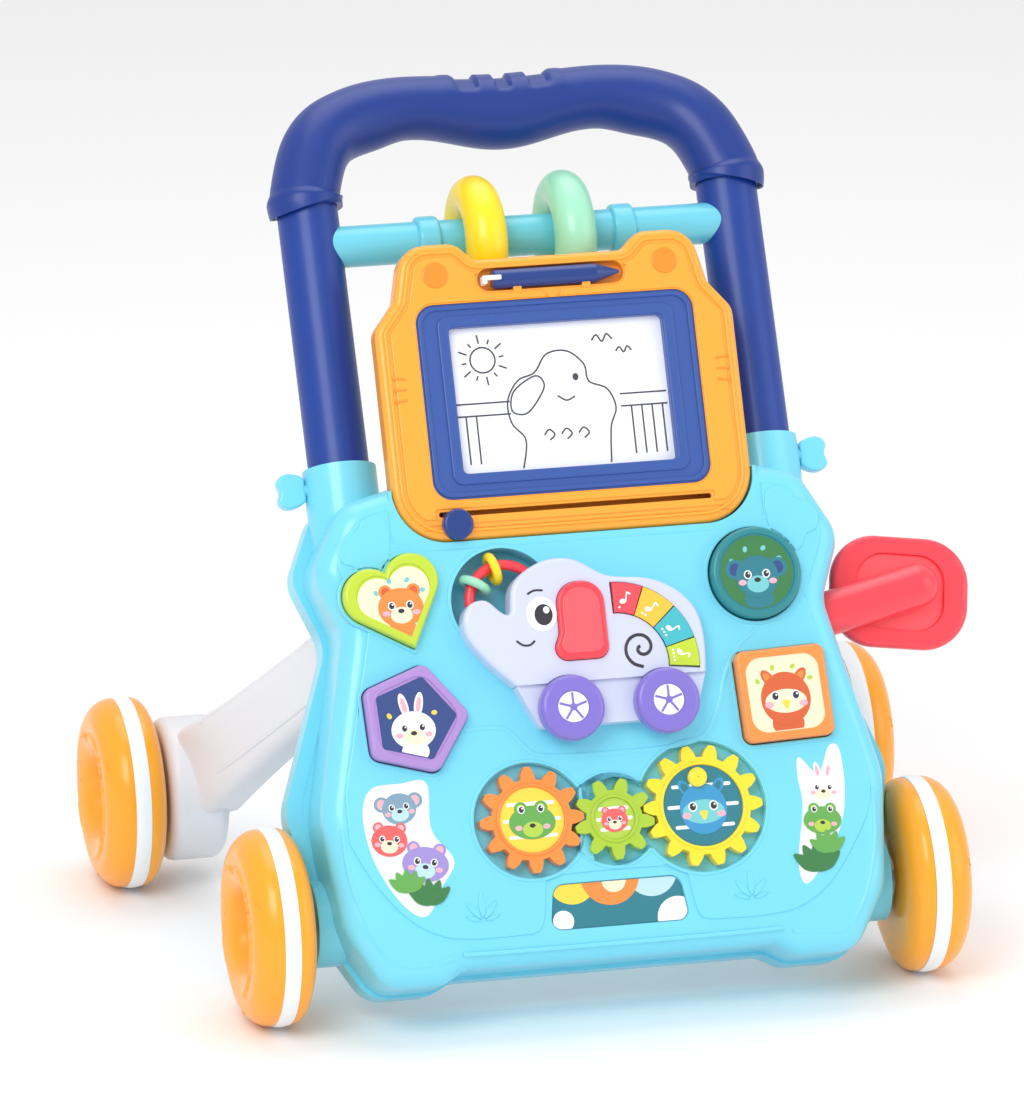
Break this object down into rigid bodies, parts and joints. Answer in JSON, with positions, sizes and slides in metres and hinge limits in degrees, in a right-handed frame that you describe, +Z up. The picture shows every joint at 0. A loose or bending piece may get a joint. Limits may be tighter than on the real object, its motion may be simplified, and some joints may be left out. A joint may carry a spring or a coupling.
{
  "type": "baby walker",
  "caption": "Push walker for a toddler: leaning play panel with bow handle, lift-off drawing board, shape blocks, gears, toy elephant and four fat wheels.",
  "frame": {"origin": "on the floor under the middle of the bounding box", "axes": "+X to the right seen from the panel's front, -Y the way the panel faces, +Z up"},
  "size_m": [0.4782, 0.3711, 0.482],
  "materials": {
    "panel_plastic": "smooth moulded ABS, soft gloss",
    "handle_plastic": "satin blow-moulded",
    "core_plastic": "satin",
    "bar_plastic": "soft gloss",
    "yellow_plastic": "soft gloss",
    "mint_plastic": "soft gloss",
    "board_plastic": "soft gloss",
    "bezel_plastic": "satin",
    "screen_film": "smooth matt film",
    "navy_plastic": "soft gloss",
    "white_plastic": "soft gloss",
    "arm_plastic": "satin",
    "wheel_plastic": "soft gloss",
    "tyre_rubber": "matt",
    "axle_steel": "bright zinc",
    "lime_plastic": "soft gloss",
    "lilac_plastic": "soft gloss",
    "teal_plastic": "soft gloss",
    "orange_plastic": "soft gloss",
    "elephant_plastic": "soft gloss",
    "red_plastic": "soft gloss",
    "key_teal_plastic": "soft gloss",
    "key_yellow_plastic": "soft gloss",
    "purple_plastic": "soft gloss",
    "green_plastic": "soft gloss",
    "printed_foil": "printed, clear gloss film"
  },
  "bodies": {
    "frame": {"panel_front": "panel_plastic", "panel_back": "panel_plastic", "handle_leg_left": "handle_plastic", "handle_leg_right": "handle_plastic", "handle_grip": "handle_plastic", "grip_core": "core_plastic", "crossbar": "bar_plastic", "rear_arm_left": "arm_plastic", "rear_arm_right": "arm_plastic", "front_axle": "axle_steel", "rear_axles": "axle_steel", "window_label": "printed_foil", "corner_stickers": "printed_foil", "back_screws": "axle_steel"},
    "front_left_wheel": {"front_left_wheel_outer": "wheel_plastic", "front_left_wheel_inner": "wheel_plastic", "front_left_wheel_tyre": "tyre_rubber"},
    "front_right_wheel": {"front_right_wheel_outer": "wheel_plastic", "front_right_wheel_inner": "wheel_plastic", "front_right_wheel_tyre": "tyre_rubber"},
    "rear_left_wheel": {"rear_left_wheel_outer": "wheel_plastic", "rear_left_wheel_inner": "wheel_plastic", "rear_left_wheel_tyre": "tyre_rubber", "rear_left_wheel_cap": "white_plastic"},
    "rear_right_wheel": {"rear_right_wheel_outer": "wheel_plastic", "rear_right_wheel_inner": "wheel_plastic", "rear_right_wheel_tyre": "tyre_rubber", "rear_right_wheel_cap": "white_plastic"},
    "crossbar_ring_yellow": {"crossbar_ring_yellow": "yellow_plastic"},
    "crossbar_ring_mint": {"crossbar_ring_mint": "mint_plastic"},
    "wing_knob_left": {"wing_knob_left": "panel_plastic"},
    "wing_knob_right": {"wing_knob_right": "panel_plastic"},
    "drawing_board": {"board_frame": "board_plastic", "board_back": "board_plastic", "screen_bezel": "bezel_plastic", "screen": "screen_film"},
    "pen": {"pen": "navy_plastic", "pen_hook": "white_plastic"},
    "eraser": {"eraser_knob": "navy_plastic", "eraser_bar": "white_plastic"},
    "heart_block": {"heart_block": "lime_plastic"},
    "pentagon_block": {"pentagon_block": "lilac_plastic"},
    "round_block": {"round_block": "teal_plastic"},
    "square_block": {"square_block": "orange_plastic"},
    "elephant": {"elephant_upper": "elephant_plastic", "elephant_lower": "elephant_plastic", "trunk_ring": "red_plastic"},
    "elephant_ear": {"elephant_ear": "red_plastic"},
    "key_red": {"key_red": "red_plastic"},
    "key_yellow": {"key_yellow": "key_yellow_plastic"},
    "key_teal": {"key_teal": "key_teal_plastic"},
    "key_lime": {"key_lime": "lime_plastic"},
    "elephant_wheel_fore": {"elephant_wheel_fore": "purple_plastic"},
    "elephant_wheel_hind": {"elephant_wheel_hind": "purple_plastic"},
    "bead_yellow": {"bead_yellow": "yellow_plastic"},
    "bead_mint": {"bead_mint": "mint_plastic"},
    "gear_left": {"gear_left": "orange_plastic"},
    "gear_middle": {"gear_middle": "green_plastic"},
    "gear_right": {"gear_right": "yellow_plastic"},
    "paddle": {"paddle": "red_plastic"}
  },
  "joints": [
    {"name": "front_left_wheel_roll", "type": "hinge", "parent": "frame", "child": "front_left_wheel", "pos_m": [-0.1877, -0.12425, 0.056], "axis": [1, 0, 0], "continuous": true},
    {"name": "front_right_wheel_roll", "type": "hinge", "parent": "frame", "child": "front_right_wheel", "pos_m": [0.1877, -0.12425, 0.056], "axis": [1, 0, 0], "continuous": true},
    {"name": "rear_left_wheel_roll", "type": "hinge", "parent": "frame", "child": "rear_left_wheel", "pos_m": [-0.2174, 0.12955, 0.056], "axis": [1, 0, 0], "continuous": true},
    {"name": "rear_right_wheel_roll", "type": "hinge", "parent": "frame", "child": "rear_right_wheel", "pos_m": [0.2174, 0.12955, 0.056], "axis": [1, 0, 0], "continuous": true},
    {"name": "crossbar_ring_yellow_slide", "type": "slide", "parent": "frame", "child": "crossbar_ring_yellow", "axis": [1, 0, 0], "range_m": [-0.0095, 0.012]},
    {"name": "crossbar_ring_mint_slide", "type": "slide", "parent": "frame", "child": "crossbar_ring_mint", "axis": [1, 0, 0], "range_m": [-0.0115, 0.0135]},
    {"name": "wing_knob_left_turn", "type": "hinge", "parent": "frame", "child": "wing_knob_left", "pos_m": [-0.123, -0.02405, 0.27762], "axis": [-1, 0, 0], "range_deg": [0, 90]},
    {"name": "wing_knob_right_turn", "type": "hinge", "parent": "frame", "child": "wing_knob_right", "pos_m": [0.123, -0.02405, 0.27762], "axis": [1, 0, 0], "range_deg": [0, 90]},
    {"name": "drawing_board_lift", "type": "slide", "parent": "frame", "child": "drawing_board", "axis": [0, -0.8996, 0.4368], "range_m": [0, 0.06]},
    {"name": "pen_lift", "type": "slide", "parent": "drawing_board", "child": "pen", "axis": [0, -0.8996, 0.4368], "range_m": [0, 0.03]},
    {"name": "eraser_slide", "type": "slide", "parent": "drawing_board", "child": "eraser", "axis": [1, 0, 0], "range_m": [-0.005, 0.138]},
    {"name": "heart_block_lift", "type": "slide", "parent": "frame", "child": "heart_block", "axis": [0, -0.8996, 0.4368], "range_m": [0, 0.03]},
    {"name": "pentagon_block_lift", "type": "slide", "parent": "frame", "child": "pentagon_block", "axis": [0, -0.8996, 0.4368], "range_m": [0, 0.03]},
    {"name": "round_block_lift", "type": "slide", "parent": "frame", "child": "round_block", "axis": [0, -0.8996, 0.4368], "range_m": [0, 0.03]},
    {"name": "square_block_lift", "type": "slide", "parent": "frame", "child": "square_block", "axis": [0, -0.8996, 0.4368], "range_m": [0, 0.03]},
    {"name": "elephant_lift", "type": "slide", "parent": "frame", "child": "elephant", "axis": [0, -0.8996, 0.4368], "range_m": [0, 0.04]},
    {"name": "elephant_ear_press", "type": "slide", "parent": "elephant", "child": "elephant_ear", "axis": [0, 0.8996, -0.4368], "range_m": [0, 0.002], "stiffness_N_per_m": 400},
    {"name": "key_red_press", "type": "slide", "parent": "elephant", "child": "key_red", "axis": [0, 0.8996, -0.4368], "range_m": [0, 0.002], "stiffness_N_per_m": 400},
    {"name": "key_yellow_press", "type": "slide", "parent": "elephant", "child": "key_yellow", "axis": [0, 0.8996, -0.4368], "range_m": [0, 0.002], "stiffness_N_per_m": 400},
    {"name": "key_teal_press", "type": "slide", "parent": "elephant", "child": "key_teal", "axis": [0, 0.8996, -0.4368], "range_m": [0, 0.002], "stiffness_N_per_m": 400},
    {"name": "key_lime_press", "type": "slide", "parent": "elephant", "child": "key_lime", "axis": [0, 0.8996, -0.4368], "range_m": [0, 0.002], "stiffness_N_per_m": 400},
    {"name": "elephant_wheel_fore_spin", "type": "hinge", "parent": "elephant", "child": "elephant_wheel_fore", "pos_m": [-0.019, -0.13876, 0.17546], "axis": [0, -0.8996, 0.4368], "continuous": true},
    {"name": "elephant_wheel_hind_spin", "type": "hinge", "parent": "elephant", "child": "elephant_wheel_hind", "pos_m": [0.036, -0.13876, 0.17546], "axis": [0, -0.8996, 0.4368], "continuous": true},
    {"name": "bead_yellow_slide", "type": "hinge", "parent": "elephant", "child": "bead_yellow", "pos_m": [-0.046, -0.09512, 0.22709], "axis": [0, -0.8996, 0.4368], "range_deg": [-8, 12]},
    {"name": "bead_mint_slide", "type": "hinge", "parent": "elephant", "child": "bead_mint", "pos_m": [-0.046, -0.09512, 0.22709], "axis": [0, -0.8996, 0.4368], "range_deg": [-12, 14]},
    {"name": "gear_left_spin", "type": "hinge", "parent": "frame", "child": "gear_left", "pos_m": [-0.046, -0.15215, 0.11582], "axis": [0, -0.8996, 0.4368], "continuous": true},
    {"name": "gear_middle_spin", "type": "hinge", "parent": "frame", "child": "gear_middle", "pos_m": [0.00115, -0.15346, 0.11312], "axis": [0, -0.8996, 0.4368], "continuous": true},
    {"name": "gear_right_spin", "type": "hinge", "parent": "frame", "child": "gear_right", "pos_m": [0.0528, -0.15202, 0.11609], "axis": [0, -0.8996, 0.4368], "continuous": true},
    {"name": "paddle_turn", "type": "hinge", "parent": "frame", "child": "paddle", "pos_m": [0.14, -0.07887, 0.19807], "axis": [0.9759, 0.0953, 0.1962], "range_deg": [-90, 90]}
  ],
  "couplings": [
    {"joint": "gear_middle_spin", "follows": "gear_right_spin", "ratio": -1.5556},
    {"joint": "gear_left_spin", "follows": "gear_right_spin", "ratio": 1.1667}
  ]
}
